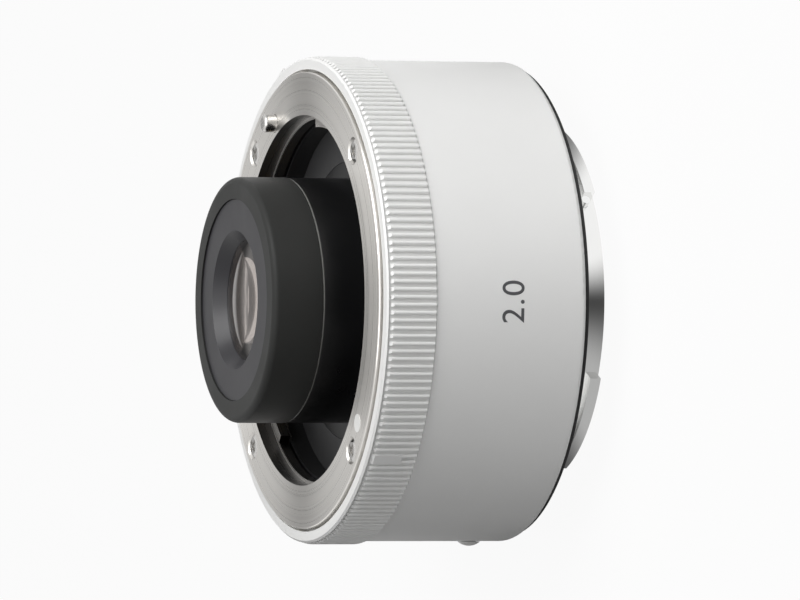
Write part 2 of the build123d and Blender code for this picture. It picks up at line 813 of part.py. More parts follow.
# Front contact block: stepped bores for the pins and their springs
ribbon_top = bulkhead_top + ribbon_thickness
roof_bottom = contact_block_top - contact_pin_roof
with BuildPart() as front_contact_block:
    sector(contact_block_inner, contact_block_outer, block_start, contact_block_span, ribbon_top, contact_block_top)
    posts(contact_pin_radius + pin_slack, contact_circle, contact_angles,
          roof_bottom - overrun, contact_block_top + overrun, Mode.SUBTRACT)
    posts(contact_pin_collar + slip, contact_circle, contact_angles,
          ribbon_top - overrun, roof_bottom, Mode.SUBTRACT)
front_contact_block.part.label = "front_contact_block"
export_step(front_contact_block.part, "parts/front_contact_block.step")

# Ten contact pins, each sliding in its own bore
pin_collar_top = roof_bottom - seat_gap
pin_collar_bottom = pin_collar_top - contact_pin_collar_height
for number, angle in enumerate(contact_angles, start=1):
    with BuildPart() as contact_pin:
        posts(contact_pin_radius, contact_circle, (angle,), pin_collar_top, contact_block_top + contact_pin_proud)
        fillet(contact_pin.faces().sort_by(Axis.Z)[-1].edges(), radius=contact_pin_round)
        posts(contact_pin_collar, contact_circle, (angle,), pin_collar_bottom, pin_collar_top)
    contact_pin.part.label = f"contact_pin_{number:02d}"
    export_step(contact_pin.part, f"parts/contact_pin_{number:02d}.step")

with BuildPart() as contact_springs:
    coil(contact_places, contact_spring_radius, contact_spring_wire,
         ribbon_top, pin_collar_bottom, contact_spring_turns)
contact_springs.part.label = "contact_springs"
export_step(contact_springs.part, "parts/contact_springs.step")

# Front ribbon: from under the contact block, over the bulkhead and down to the board
ribbon_half = ribbon_width / 2
connector_top = board_top + connector_height
with BuildPart() as front_ribbon:
    sector(contact_block_inner, contact_block_outer, block_start, contact_block_span, bulkhead_top, ribbon_top)
    block(-ribbon_half, ribbon_half, contact_block_outer - ribbon_margin, front_ribbon_place, bulkhead_top, ribbon_top)
    block(-ribbon_half, ribbon_half, front_ribbon_place - ribbon_thickness, front_ribbon_place,
          connector_top, ribbon_top)
front_ribbon.part.label = "front_ribbon"
export_step(front_ribbon.part, "parts/front_ribbon.step")

# Rear ribbon: from the contact holder straight up to the board
connector_bottom = board_bottom - connector_height
with BuildPart() as rear_ribbon:
    block(-ribbon_half, ribbon_half, rear_ribbon_place, rear_ribbon_place + ribbon_thickness,
          ledge_height, connector_bottom)
rear_ribbon.part.label = "rear_ribbon"
export_step(rear_ribbon.part, "parts/rear_ribbon.step")

# Circuit board, its connectors and its chip
with BuildPart() as circuit_board:
    sector(board_inner, board_outer, board_start, board_sweep, board_bottom, board_top)
    posts(small_screw_shank + thread_slack, board_post_circle, board_post_angles,
          board_bottom - overrun, board_top + overrun, Mode.SUBTRACT)
circuit_board.part.label = "circuit_board"
export_step(circuit_board.part, "parts/circuit_board.step")

with BuildPart() as board_connectors:
    for place, bottom, top in (
        (front_ribbon_place, board_top, connector_top),
        (rear_ribbon_place, connector_bottom, board_bottom),
    ):
        block(-connector_width / 2, connector_width / 2, place - connector_depth / 2, place + connector_depth / 2,
              bottom, top)
board_connectors.part.label = "board_connectors"
export_step(board_connectors.part, "parts/board_connectors.step")

chip_place = polar(chip_circle, chip_angle)
with BuildPart() as controller_chip:
    block(chip_place[0] - chip_side / 2, chip_place[0] + chip_side / 2,
          chip_place[1] - chip_side / 2, chip_place[1] + chip_side / 2, board_bottom - chip_height, board_bottom)
    chamfer(controller_chip.faces().sort_by(Axis.Z)[0].edges(), length=chip_edge)
controller_chip.part.label = "controller_chip"
export_step(controller_chip.part, "parts/controller_chip.step")

with BuildPart(facing_down(board_bottom)) as board_screws:
    with Locations(*[polar(board_post_circle, -angle) for angle in board_post_angles]):
        add(small_screw.part)
board_screws.part.label = "board_screws"
export_step(board_screws.part, "parts/board_screws.step")

# Camera-side bayonet: flange, drum, inner ledge and three tabs
with BuildPart() as rear_bayonet:
    turn((
        (rear_flange_radius, flange_height),
        (rear_flange_radius, flange_top),
        (ledge_bore, flange_top),
        (ledge_bore, ledge_height),
        (drum_bore, ledge_height),
        (drum_bore, drum_end),
        (drum_radius, drum_end),
        (drum_radius, flange_height),
    ))
    for start, span in rear_tabs:
        tab_root = (drum_bore + drum_radius) / 2
        sector(tab_root, rear_tab_radius, start, span, drum_end, drum_end + rear_tab_thickness)
    countersinks(flange_height, -1)
    posts(lock_hole_radius, lock_pin_circle, (lock_pin_angle,),
          flange_height - overrun, flange_height + lock_hole_depth, Mode.SUBTRACT)
    with BuildSketch(Plane(origin=(0, 0, stop_pin_height), z_dir=(*polar(1, stop_pin_angle), 0))) as stop_hole:
        Circle(stop_pin_radius + seat_gap)
    extrude(stop_hole.sketch, amount=drum_radius + overrun, mode=Mode.SUBTRACT)
    posts(small_screw_shank + thread_slack, baffle_screw_circle, baffle_screw_angles,
          ledge_height - overrun, flange_height, Mode.SUBTRACT)
    block(-ribbon_side, ribbon_side, rear_ribbon_place - ribbon_margin, rear_ribbon_place + ribbon_margin,
          ledge_height - overrun, flange_top + overrun, Mode.SUBTRACT)
rear_bayonet.part.label = "rear_bayonet"
export_step(rear_bayonet.part, "parts/rear_bayonet.step")

with BuildPart(facing_down(flange_height)) as rear_mount_screws:
    with PolarLocations(mount_screw_circle, mount_screw_count, start_angle=mount_screw_start):
        add(mount_screw.part)
rear_mount_screws.part.label = "rear_mount_screws"
export_step(rear_mount_screws.part, "parts/rear_mount_screws.step")

with BuildPart() as bayonet_stop_pin:
    with BuildSketch(Plane(
        origin=(*polar(drum_bore + stop_pin_inset, stop_pin_angle), stop_pin_height),
        z_dir=(*polar(1, stop_pin_angle), 0),
    )):
        Circle(stop_pin_radius)
    extrude(amount=rear_tab_radius - drum_bore - stop_pin_inset)
bayonet_stop_pin.part.label = "bayonet_stop_pin"
export_step(bayonet_stop_pin.part, "parts/bayonet_stop_pin.step")

# Rubber gasket on the barrel's rear edge, round the bayonet's flange
with BuildPart() as mount_gasket:
    tube(rear_flange_radius + slip, gasket_radius, barrel_rear - gasket_thickness, barrel_rear)
mount_gasket.part.label = "mount_gasket"
export_step(mount_gasket.part, "parts/mount_gasket.step")

# Rear baffle: rim, plate and rectangular light window, open where the contacts are
baffle_plate_bottom = ledge_height - baffle_plate_thickness
with BuildPart() as rear_baffle:
    tube(0, baffle_radius, baffle_plate_bottom, ledge_height)
    tube(baffle_rim_bore, baffle_radius, 0, ledge_height)
    sector(baffle_sector_inner, baffle_radius + overrun, contact_middle - baffle_sector_span / 2,
           baffle_sector_span, -overrun, ledge_height + overrun, Mode.SUBTRACT)
    with BuildSketch(Plane.XY.offset(baffle_plate_bottom - overrun)) as window:
        RectangleRounded(baffle_window_x, baffle_window_y, baffle_window_round)
    extrude(window.sketch, amount=baffle_plate_thickness + overrun * 2, mode=Mode.SUBTRACT)
    posts(small_screw_shank + thread_slack, baffle_screw_circle, baffle_screw_angles,
          baffle_plate_bottom - overrun, ledge_height + overrun, Mode.SUBTRACT)
rear_baffle.part.label = "rear_baffle"
export_step(rear_baffle.part, "parts/rear_baffle.step")

with BuildPart(facing_down(baffle_plate_bottom)) as baffle_screws:
    with Locations(*[polar(baffle_screw_circle, -angle) for angle in baffle_screw_angles]):
        add(small_screw.part)
baffle_screws.part.label = "baffle_screws"
export_step(baffle_screws.part, "parts/baffle_screws.step")

# Rear contact holder with a pocket for each pad
pad_bottom = holder_bottom - pad_proud


def pads(slack, bottom, top, mode=Mode.ADD):
    """Rectangular pads, or their pockets, turned to the contact circle."""
    with BuildSketch(Plane.XY.offset(bottom)) as faces:
        with PolarLocations(contact_circle, contact_count, start_angle=contact_start,
                            angular_range=contact_pitch * (contact_count - 1), endpoint=True):
            Rectangle(pad_length + slack * 2, pad_width + slack * 2)
    extrude(faces.sketch, amount=top - bottom, mode=mode)


with BuildPart() as rear_contact_holder:
    sector(holder_inner, baffle_radius, contact_middle - holder_span / 2, holder_span, holder_bottom, ledge_height)
    pads(seat_gap, holder_bottom - overrun, pad_bottom + pad_thickness, Mode.SUBTRACT)
rear_contact_holder.part.label = "rear_contact_holder"
export_step(rear_contact_holder.part, "parts/rear_contact_holder.step")

with BuildPart() as rear_contact_pads:
    pads(0, pad_bottom, pad_bottom + pad_thickness)
rear_contact_pads.part.label = "rear_contact_pads"
export_step(rear_contact_pads.part, "parts/rear_contact_pads.step")

# Front hood: the front shell of the protruding tube
hood_rear = tube_front - hood_rear_step
with BuildPart() as front_hood:
    tube(hood_bore, tube_radius, hood_rear, tube_front)
    fillet(front_hood.faces().sort_by(Axis.Z)[-1].edges().sort_by(SortBy.RADIUS)[-1], radius=hood_edge_round)
front_hood.part.label = "front_hood"
export_step(front_hood.part, "parts/front_hood.step")

# Tube sleeve: the rear part of the protruding tube, with its foot on the rear cell
spigot_top = bulkhead_top + spigot_height
sleeve_radius = tube_radius - sleeve_inset
with BuildPart() as tube_sleeve:
    turn((
        (sleeve_collar_bore, spigot_top),
        (sleeve_flange_radius, spigot_top),
        (sleeve_flange_radius, floor_top),
        (sleeve_radius, floor_top),
        (sleeve_radius, hood_rear - seam_groove),
        (sleeve_radius - seam_groove, hood_rear),
        (sleeve_wall_bore, hood_rear),
        (sleeve_wall_bore, spigot_top + sleeve_collar_height),
        (sleeve_collar_bore, spigot_top + sleeve_collar_height),
    ))
tube_sleeve.part.label = "tube_sleeve"
export_step(tube_sleeve.part, "parts/tube_sleeve.step")

# Front trim ring: flat face, cone down to the front glass and a lip that holds it
trim_top = tube_front - trim_drop
trim_bottom = front_face(1, trim_lip_radius) + seat_gap
with BuildPart() as front_trim_ring:
    turn((
        (trim_cone_radius, trim_top),
        (trim_radius, trim_top),
        (trim_radius, trim_bottom),
        (trim_lip_radius, trim_bottom),
    ))
front_trim_ring.part.label = "front_trim_ring"
export_step(front_trim_ring.part, "parts/front_trim_ring.step")

# Front lens cell: holds the first four elements
triplet_rim = front_face(5, triplet_radius)
boss_top = triplet_rim + seat_gap + triplet_ring_height + cell_rest
third_seat = rear_face(3, front_aperture) - seat_gap
fourth_seat_height = front_face(4, fourth_seat_radius) + seat_gap
aperture_bottom = glasses[3][1] + front_aperture_step
with BuildPart() as front_lens_cell:
    turn((
        (cell_radius, boss_top),
        (cell_radius, trim_bottom),
        (front_glass_radius + glass_slack, trim_bottom),
        (front_glass_radius + glass_slack, third_seat),
        (front_aperture, third_seat),
        (front_aperture, aperture_bottom),
        (fourth_seat_radius, aperture_bottom),
        (fourth_seat_radius, fourth_seat_height),
        (fourth_glass_radius + glass_slack, fourth_seat_height),
        (fourth_glass_radius + glass_slack, boss_top),
    ))
front_lens_cell.part.label = "front_lens_cell"
export_step(front_lens_cell.part, "parts/front_lens_cell.step")

# Rear lens cell: holds the cemented three and the last element, and bolts to the bulkhead
rear_cell_bottom = ledge_height + rear_cell_gap
triplet_seat = rear_face(7, triplet_radius) - seat_gap
rear_seat = front_face(8, rear_seat_radius) + seat_gap
rear_aperture_bottom = glasses[7][1] + rear_aperture_step
waist_bottom = rear_aperture_bottom + rear_shelf
cell_flange_bottom = bulkhead_bottom - rear_cell_flange_thickness
with BuildPart() as rear_lens_cell:
    turn((
        (rear_glass_radius + glass_slack, rear_cell_bottom),
        (rear_cell_radius, rear_cell_bottom),
        (rear_cell_radius, waist_bottom),
        (rear_cell_waist, waist_bottom),
        (rear_cell_waist, cell_flange_bottom),
        (rear_cell_flange_radius, cell_flange_bottom),
        (rear_cell_flange_radius, bulkhead_bottom),
        (spigot_radius, bulkhead_bottom),
        (spigot_radius, spigot_top),
        (boss_radius, spigot_top),
        (boss_radius, boss_top),
        (triplet_radius + glass_slack, boss_top),
        (triplet_radius + glass_slack, triplet_seat),
        (triplet_aperture, triplet_seat),
        (triplet_aperture, rear_aperture_bottom),
        (rear_seat_radius, rear_aperture_bottom),
        (rear_seat_radius, rear_seat),
        (rear_glass_radius + glass_slack, rear_seat),
    ))
    posts(small_screw_shank + thread_slack, unit_screw_circle, unit_screw_angles,
          cell_flange_bottom - overrun, bulkhead_bottom + overrun, Mode.SUBTRACT)
rear_lens_cell.part.label = "rear_lens_cell"
export_step(rear_lens_cell.part, "parts/rear_lens_cell.step")

with BuildPart(facing_down(cell_flange_bottom)) as lens_unit_screws:
    with Locations(*[polar(unit_screw_circle, -angle) for angle in unit_screw_angles]):
        add(small_screw.part)
lens_unit_screws.part.label = "lens_unit_screws"
export_step(lens_unit_screws.part, "parts/lens_unit_screws.step")

# Spacer and retaining rings of the glass
with BuildPart() as front_spacer:
    tube(spacer_bore, front_glass_radius - ring_slack,
         front_face(2, front_glass_radius) + seat_gap, rear_face(1, spacer_bore) - seat_gap)
front_spacer.part.label = "front_spacer"
export_step(front_spacer.part, "parts/front_spacer.step")

cell_ring_top = rear_face(4, cell_ring_bore) - seat_gap
with BuildPart() as cell_retaining_ring:
    tube(cell_ring_bore, fourth_glass_radius, cell_ring_top - cell_ring_height, cell_ring_top)
cell_retaining_ring.part.label = "cell_retaining_ring"
export_step(cell_retaining_ring.part, "parts/cell_retaining_ring.step")

with BuildPart() as triplet_retaining_ring:
    tube(triplet_ring_bore, triplet_radius, triplet_rim + seat_gap, triplet_rim + seat_gap + triplet_ring_height)
triplet_retaining_ring.part.label = "triplet_retaining_ring"
export_step(triplet_retaining_ring.part, "parts/triplet_retaining_ring.step")

rear_ring_top = rear_face(8, rear_ring_bore) - seat_gap
with BuildPart() as rear_retaining_ring:
    tube(rear_ring_bore, rear_glass_radius, rear_ring_top - rear_ring_height, rear_ring_top)
rear_retaining_ring.part.label = "rear_retaining_ring"
export_step(rear_retaining_ring.part, "parts/rear_retaining_ring.step")

# Eight glass elements, front to rear
for number, (radius, front_vertex, front_curve, rear_vertex, rear_curve) in enumerate(glasses, start=1):
    with BuildPart() as glass_element:
        with BuildSketch(Plane.XZ) as lens_section:
            with BuildLine():
                front_rim = (radius, rim_height(front_vertex, front_curve, radius))
                rear_rim = (radius, rim_height(rear_vertex, rear_curve, radius))
                front_middle = (radius / 2, rim_height(front_vertex, front_curve, radius / 2))
                rear_middle = (radius / 2, rim_height(rear_vertex, rear_curve, radius / 2))
                ThreePointArc((0, front_vertex), front_middle, front_rim)
                Line(front_rim, rear_rim)
                ThreePointArc(rear_rim, rear_middle, (0, rear_vertex))
                Line((0, rear_vertex), (0, front_vertex))
            make_face()
        revolve(lens_section.sketch, axis=Axis.Z)
    glass_element.part.label = f"glass_element_{number}"
    export_step(glass_element.part, f"parts/glass_element_{number}.step")
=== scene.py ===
"""Looks of the teleconverter: its finishes, markings, light and camera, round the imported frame."""

from collections import namedtuple
from math import cos, radians, sin

import bmesh
import bpy
from mathutils import Matrix, Vector


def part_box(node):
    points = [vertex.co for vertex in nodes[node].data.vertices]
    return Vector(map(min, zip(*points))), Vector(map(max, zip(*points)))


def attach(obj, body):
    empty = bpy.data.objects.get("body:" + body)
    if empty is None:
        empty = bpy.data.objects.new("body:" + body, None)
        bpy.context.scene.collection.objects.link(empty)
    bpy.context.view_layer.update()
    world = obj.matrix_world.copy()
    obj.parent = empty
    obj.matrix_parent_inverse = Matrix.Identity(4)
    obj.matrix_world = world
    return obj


MM = 0.001
BODY = "converter_body"
WHITE = (1, 1, 1, 1)

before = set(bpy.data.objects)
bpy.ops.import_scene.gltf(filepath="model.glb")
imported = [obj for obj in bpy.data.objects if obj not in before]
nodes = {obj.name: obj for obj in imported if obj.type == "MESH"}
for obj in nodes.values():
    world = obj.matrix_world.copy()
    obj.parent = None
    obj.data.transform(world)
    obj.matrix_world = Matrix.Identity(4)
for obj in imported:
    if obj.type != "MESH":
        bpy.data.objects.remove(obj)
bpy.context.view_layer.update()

# Places read from the frame
lens_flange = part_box("front_mount_plate")[1].z
barrel_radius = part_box("main_barrel")[1].y
seam_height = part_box("tube_sleeve")[1].z
plate_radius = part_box("front_mount_plate")[1].x

# Camera: the optical axis lies towards the left of the photograph and a little to the viewer
VIEW_TILT = radians(19.87)
VIEW_ROLL = radians(-0.368)
VIEW_DISTANCE = 1500 * MM
CLIP_END = 10
PIXELS_PER_MM = 7.82
FRAME_WIDTH = 800
FRAME_HEIGHT = 600
PLATE_MIDDLE_X = 302.16
PLATE_MIDDLE_Y = 300.34
SENSOR_WIDTH = 36


def add_camera():
    """The photograph's camera, which puts the middle of the mount plate on its pixel."""
    level_right = Vector((0, -sin(VIEW_TILT), -cos(VIEW_TILT)))
    level_up = Vector((1, 0, 0))
    back = Vector((0, -cos(VIEW_TILT), sin(VIEW_TILT)))
    right = cos(VIEW_ROLL) * level_right - sin(VIEW_ROLL) * level_up
    up = sin(VIEW_ROLL) * level_right + cos(VIEW_ROLL) * level_up
    aside = (FRAME_WIDTH / 2 - PLATE_MIDDLE_X) / PIXELS_PER_MM * MM
    above = (PLATE_MIDDLE_Y - FRAME_HEIGHT / 2) / PIXELS_PER_MM * MM
    plate_middle = Vector((0, 0, lens_flange))
    position = plate_middle + aside * right + above * up + VIEW_DISTANCE * back

    camera = bpy.data.objects.new("camera", bpy.data.cameras.new("camera"))
    camera.data.sensor_width = SENSOR_WIDTH
    camera.data.lens = PIXELS_PER_MM * VIEW_DISTANCE / MM * SENSOR_WIDTH / FRAME_WIDTH
    camera.data.clip_end = CLIP_END
    camera.matrix_world = Matrix((
        (right.x, up.x, back.x, position.x),
        (right.y, up.y, back.y, position.y),
        (right.z, up.z, back.z, position.z),
        (0, 0, 0, 1),
    ))
    bpy.context.scene.collection.objects.link(camera)
    bpy.context.scene.camera = camera


add_camera()
bpy.context.scene.view_settings.view_transform = "Standard"

# Nodes for materials and light. The Mix node's colour sockets come after those for numbers
MIX_SHARE, MIX_FIRST, MIX_SECOND, MIX_RESULT = 0, 6, 7, 2
Ramp = namedtuple("Ramp", "start end first last")


def feed(tree, socket, value):
    """Gives a socket a number, a colour or another node's output."""
    if isinstance(value, bpy.types.NodeSocket):
        tree.links.new(value, socket)
    else:
        socket.default_value = value


def add_node(tree, kind, inputs=None, **settings):
    """A shader node with its settings, and its inputs as numbers or links."""
    node = tree.nodes.new("ShaderNode" + kind)
    for name, value in settings.items():
        setattr(node, name, value)
    for name, value in (inputs or {}).items():
        feed(tree, node.inputs[name], value)
    return node


def calculate(tree, operation, first, second):
    """One calculation with two values."""
    return add_node(tree, "Math", {0: first, 1: second}, operation=operation).outputs[0]


def absolute(tree, value):
    """A value without its sign."""
    return add_node(tree, "Math", {0: value}, operation="ABSOLUTE").outputs[0]


def blend(tree, share, first, last):
    """A number between two others."""
    inputs = {"Value": share, "To Min": first, "To Max": last}
    return add_node(tree, "MapRange", inputs).outputs["Result"]


def blend_colors(tree, share, first, second):
    """A colour between two others."""
    inputs = {MIX_SHARE: share, MIX_FIRST: first, MIX_SECOND: second}
    return add_node(tree, "Mix", inputs, data_type="RGBA").outputs[MIX_RESULT]


def ramp(tree, value, stretch):
    """A soft change from a first number to a last one, over a stretch of the value."""
    return add_node(tree, "MapRange", {
        "Value": value, "From Min": stretch.start, "From Max": stretch.end,
        "To Min": stretch.first, "To Max": stretch.last,
    }, interpolation_type="SMOOTHSTEP").outputs["Result"]


def split(tree, vector):
    """The X, Y and Z of a vector."""
    return add_node(tree, "SeparateXYZ", {0: vector}).outputs


# Patterns for the materials
NOISE_LOW, NOISE_HIGH = 0.3, 0.7
NOISE_DETAIL = 2.0
TURNED_DETAIL = 3.0


def place(tree):
    """Coordinates in the object's own metres."""
    return add_node(tree, "TexCoord").outputs["Object"]


def radius_from_axis(tree):
    """Distance from the optical axis, in metres."""
    flat = add_node(tree, "VectorMath", {0: place(tree), 1: (1, 1, 0)}, operation="MULTIPLY")
    return add_node(tree, "VectorMath", {0: flat.outputs[0]}, operation="LENGTH").outputs["Value"]


def slope_along_axis(tree):
    """Z of a face's direction: 1 on a face that looks to the lens side, 0 on a wall."""
    return split(tree, add_node(tree, "NewGeometry").outputs["Normal"])["Z"]


def noise(tree, grain, detail=NOISE_DETAIL, vector=None):
    """Noise whose cells are the given size in metres."""
    inputs = {"Vector": vector or place(tree), "Scale": 1 / grain, "Detail": detail}
    return add_node(tree, "TexNoise", inputs).outputs["Fac"]


def turned_marks(tree, pitch):
    """Fine rings left by a lathe: noise that changes only with radius and height."""
    height = split(tree, place(tree))["Z"]
    rings = add_node(tree, "CombineXYZ", {"X": radius_from_axis(tree), "Y": height}).outputs[0]
    return noise(tree, pitch, TURNED_DETAIL, rings)


def spread_over(tree, value, low, high):
    """The usual range of a noise value laid over another range."""
    return add_node(tree, "MapRange", {
        "Value": value, "From Min": NOISE_LOW, "From Max": NOISE_HIGH, "To Min": low, "To Max": high,
    }).outputs["Result"]


def spread_round(tree, value, middle, spread):
    """A noise value laid over a range that goes a share of its middle both ways."""
    return spread_over(tree, value, middle * (1 - spread), middle * (1 + spread))


def bump(tree, height, depth):
    """A bump of the given depth in metres."""
    inputs = {"Height": height, "Distance": depth, "Strength": 1.0}
    return add_node(tree, "Bump", inputs).outputs["Normal"]


# Kinds of material
TONE_GRAIN = 14 * MM
GLOSS_GRAIN = 5 * MM
COATED_GLOSS_SPREAD = 0.1
TURNED_GLOSS_SPREAD = 0.15
ACROSS_THE_MARKS = 0.25
TINT_GRAIN = 9 * MM
GLASS_INDEX = 1.6
RIM_LIMIT = 0.2
RIM_BLACK = (0.01, 0.01, 0.01, 1)


def finish_material(name, **shader):
    """A material with its shader's own numbers set."""
    made = bpy.data.materials.new(name)
    made.use_nodes = True
    tree = made.node_tree
    bsdf = tree.nodes["Principled BSDF"]
    for key, value in shader.items():
        bsdf.inputs[key.replace("_", " ")].default_value = value
    return made, tree, bsdf


def coated(name, color, darker, roughness, grain, depth, **shader):
    """Paint or plastic: a fine grain, a broad change of tone and an uneven gloss."""
    made, tree, bsdf = finish_material(name, **shader)
    tone = spread_over(tree, noise(tree, TONE_GRAIN), 0, 1)
    gloss = spread_round(tree, noise(tree, GLOSS_GRAIN), roughness, COATED_GLOSS_SPREAD)
    feed(tree, bsdf.inputs["Base Color"], blend_colors(tree, tone, (*darker, 1), (*color, 1)))
    feed(tree, bsdf.inputs["Roughness"], gloss)
    feed(tree, bsdf.inputs["Normal"], bump(tree, noise(tree, grain), depth))
    return made


def machined(name, color, darker, roughness, pitch, depth, anisotropic=0.0):
    """Bare metal turned on a lathe, whose tone and gloss change from ring to ring."""
    made, tree, bsdf = finish_material(
        name, Metallic=1.0, Anisotropic=anisotropic, Anisotropic_Rotation=ACROSS_THE_MARKS)
    rings = turned_marks(tree, pitch)
    tone = spread_over(tree, rings, 0, 1)
    feed(tree, bsdf.inputs["Base Color"], blend_colors(tree, tone, (*darker, 1), (*color, 1)))
    feed(tree, bsdf.inputs["Roughness"], spread_round(tree, rings, roughness, TURNED_GLOSS_SPREAD))
    feed(tree, bsdf.inputs["Normal"], bump(tree, rings, depth))
    if anisotropic:
        tangent = add_node(tree, "Tangent", direction_type="RADIAL", axis="Z")
        feed(tree, bsdf.inputs["Tangent"], tangent.outputs[0])
    return made


def clear_glass(name, first, second, **shader):
    """Coated optical glass with a faint broad change of tint and a blackened rim."""
    made, tree, bsdf = finish_material(name, Roughness=0.0, IOR=GLASS_INDEX, **shader)
    share = spread_over(tree, noise(tree, TINT_GRAIN), 0, 1)
    tint = blend_colors(tree, share, (*first, 1), (*second, 1))
    polished = calculate(tree, "GREATER_THAN", absolute(tree, slope_along_axis(tree)), RIM_LIMIT)
    feed(tree, bsdf.inputs["Base Color"], blend_colors(tree, polished, RIM_BLACK, tint))
    feed(tree, bsdf.inputs["Transmission Weight"], polished)
    return made


def recolor(made, share, first=None, second=None):
    """Blends a material's own colour with another: the own one stands where none is given."""
    tree = made.node_tree
    socket = tree.nodes["Principled BSDF"].inputs["Base Color"]
    own = socket.links[0].from_socket
    feed(tree, socket, blend_colors(tree, share, first or own, second or own))


def dress(made, *names):
    """Gives CAD nodes a material."""
    for name in names:
        for slot in nodes[name].material_slots:
            slot.material = made


# White parts
white_paint = coated("white_paint", (0.84, 0.84, 0.83), (0.82, 0.82, 0.81),
                     roughness=0.42, grain=0.12 * MM, depth=0.002 * MM)
dress(white_paint, "main_barrel", "grip_ring", "release_lever")

white_mark = coated("white_mark", (0.86, 0.86, 0.84), (0.83, 0.83, 0.81),
                    roughness=0.3, grain=0.2 * MM, depth=0.001 * MM)
dress(white_mark, "lens_index_dot", "barrel_index_bead")

# Mount plate
# Painted shade: the walls of the plate's opening take a dark colour that stands in for their shade
# and their reflection of the dark inside
PAINTED_WALL_SHADE = (0.045, 0.043, 0.042, 1)
RIM_WIDTH = 1 * MM


def plate_unshaded_share(tree):
    """One on the plate's face and on its outer rim, and none on the walls of its opening, which get
    painted shade.
    """
    rim_radius = plate_radius - RIM_WIDTH
    outer_rim = calculate(tree, "GREATER_THAN", radius_from_axis(tree), rim_radius)
    return calculate(tree, "MAXIMUM", slope_along_axis(tree), outer_rim)


plate_steel = machined("plate_steel", (0.75, 0.73, 0.695), (0.69, 0.67, 0.64),
                       roughness=0.3, pitch=0.12 * MM, depth=0.00006 * MM, anisotropic=0.9)
recolor(plate_steel, plate_unshaded_share(plate_steel.node_tree), first=PAINTED_WALL_SHADE)
dress(plate_steel, "front_mount_plate")

# Other metals
mount_chrome = machined("mount_chrome", (0.9, 0.9, 0.89), (0.86, 0.86, 0.85),
                        roughness=0.12, pitch=0.06 * MM, depth=0.0002 * MM, anisotropic=0.4)
dress(mount_chrome, "rear_bayonet", "bayonet_stop_pin")

screw_steel = machined("screw_steel", (0.6, 0.59, 0.57), (0.5, 0.49, 0.48),
                       roughness=0.26, pitch=0.08 * MM, depth=0.0003 * MM)
dress(screw_steel, "front_mount_screws", "rear_mount_screws", "lock_pin", "board_screws",
      "lens_unit_screws", "baffle_screws")

spring_steel = machined("spring_steel", (0.45, 0.44, 0.42), (0.38, 0.37, 0.36),
                        roughness=0.3, pitch=0.05 * MM, depth=0.0003 * MM)
dress(spring_steel, "lock_pin_spring", "mount_leaf_springs", "mount_shim", "contact_springs")

gold = machined("gold", (0.85, 0.62, 0.25), (0.8, 0.56, 0.22),
                roughness=0.2, pitch=0.05 * MM, depth=0.0002 * MM)
dress(gold, "rear_contact_pads", *[name for name in nodes if name.startswith("contact_pin_")])

# Tube: a glossy sleeve, a matte hood and the ring round the front glass
# Painted highlight: a lighter band on the sleeve just behind its front edge, standing in for light
# caught along the seam with the hood
SEAM_PAINTED_HIGHLIGHT = (0.2, 0.2, 0.19, 1)
HIGHLIGHT_BEGINS = 0.28 * MM
HIGHLIGHT_FULL = 0.18 * MM


def sleeve_painted_highlight(tree):
    """Painted highlight: grows from none to one close behind the sleeve's front edge, at the seam
    with the hood.
    """
    return add_node(tree, "MapRange", {
        "Value": split(tree, place(tree))["Z"],
        "From Min": seam_height - HIGHLIGHT_BEGINS, "From Max": seam_height - HIGHLIGHT_FULL,
    }).outputs["Result"]


sleeve_black = coated("sleeve_black", (0.008, 0.008, 0.0085), (0.006, 0.006, 0.0065),
                      roughness=0.3, grain=0.15 * MM, depth=0.001 * MM)
recolor(sleeve_black, sleeve_painted_highlight(sleeve_black.node_tree), second=SEAM_PAINTED_HIGHLIGHT)
dress(sleeve_black, "tube_sleeve")

hood_grey = coated("hood_grey", (0.031, 0.0315, 0.0305), (0.026, 0.0265, 0.0255),
                   roughness=0.46, grain=0.1 * MM, depth=0.004 * MM, Specular_IOR_Level=0.12)
dress(hood_grey, "front_hood")

trim_grey = coated("trim_grey", (0.015, 0.0145, 0.0175), (0.012, 0.0115, 0.0145),
                   roughness=0.38, grain=0.1 * MM, depth=0.002 * MM, Specular_IOR_Level=0.4)
dress(trim_grey, "front_trim_ring")

# Blacks inside, rubber and the electric parts
black_anodised = coated("black_anodised", (0.02, 0.02, 0.021), (0.014, 0.014, 0.015),
                        roughness=0.4, grain=0.08 * MM, depth=0.002 * MM)
dress(black_anodised, "chassis", "front_lens_cell", "rear_lens_cell", "front_spacer",
      "cell_retaining_ring", "triplet_retaining_ring", "rear_retaining_ring", "throat_liner")

black_plastic = coated("black_plastic", (0.026, 0.026, 0.027), (0.021, 0.021, 0.022),
                       roughness=0.55, grain=0.25 * MM, depth=0.006 * MM)
dress(black_plastic, "throat_floor", "front_contact_block", "rear_contact_holder", "rear_baffle",
      "board_connectors", "controller_chip")

gasket_rubber = coated("gasket_rubber", (0.02, 0.02, 0.02), (0.015, 0.015, 0.015),
                       roughness=0.7, grain=0.1 * MM, depth=0.004 * MM)
dress(gasket_rubber, "mount_gasket")

board_green = coated("board_green", (0.02, 0.14, 0.05), (0.015, 0.1, 0.04),
                     roughness=0.35, grain=0.3 * MM, depth=0.004 * MM)
dress(board_green, "circuit_board")

ribbon_amber = coated("ribbon_amber", (0.4, 0.2, 0.04), (0.33, 0.16, 0.03),
                      roughness=0.35, grain=0.3 * MM, depth=0.001 * MM)
dress(ribbon_amber, "front_ribbon", "rear_ribbon")

# Glasses: a warm coating on the front one, and a faint reflection on the others
LAST_GLASS = 8
front_glass = clear_glass("front_glass", (0.4, 0.355, 0.33), (0.44, 0.39, 0.36),
                          Specular_Tint=(1, 0.88, 0.82, 1))
dress(front_glass, "glass_element_1")

